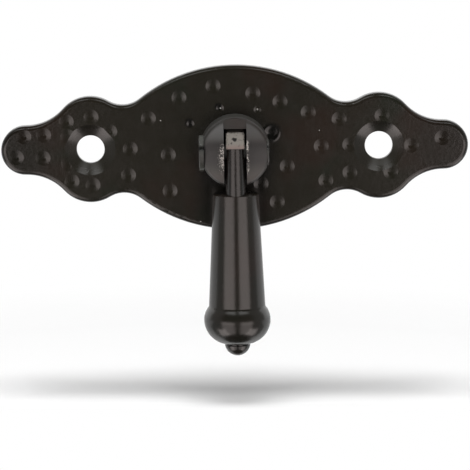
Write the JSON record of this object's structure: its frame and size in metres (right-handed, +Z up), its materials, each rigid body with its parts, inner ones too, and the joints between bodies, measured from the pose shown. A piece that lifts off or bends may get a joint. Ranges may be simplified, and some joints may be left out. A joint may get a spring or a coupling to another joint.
{
  "type": "drop pull cabinet handle",
  "caption": "Drop-shaped pull handle hinged on a forked post, riveted to a wide hammered backplate with a wavy outline and countersunk screw holes.",
  "frame": {"origin": "middle of the backplate's back face, halfway between the screw holes, on the mounting surface", "axes": "+X to the right along the screw holes, +Z up, -Y out of the door towards the user"},
  "size_m": [0.085, 0.0136, 0.0523],
  "materials": {
    "plate_lacquer": "satin black lacquer on a cast plate, with rubbed edges",
    "post_lacquer": "semi-gloss black lacquer, chipped along the slot",
    "rivet_lacquer": "semi-gloss black lacquer over a hammered rivet",
    "drop_lacquer": "semi-gloss black lacquer, worn grey on top of the eye"
  },
  "bodies": {
    "plate": {"backplate": "plate_lacquer", "handle_post": "post_lacquer", "hinge_rivet": "rivet_lacquer"},
    "drop": {"drop_handle": "drop_lacquer"}
  },
  "joints": [
    {"name": "drop_swing", "type": "hinge", "parent": "plate", "child": "drop", "pos_m": [0, -0.0076, -0.0003], "axis": [-1, 0, 0], "range_deg": [-2, 95]}
  ]
}
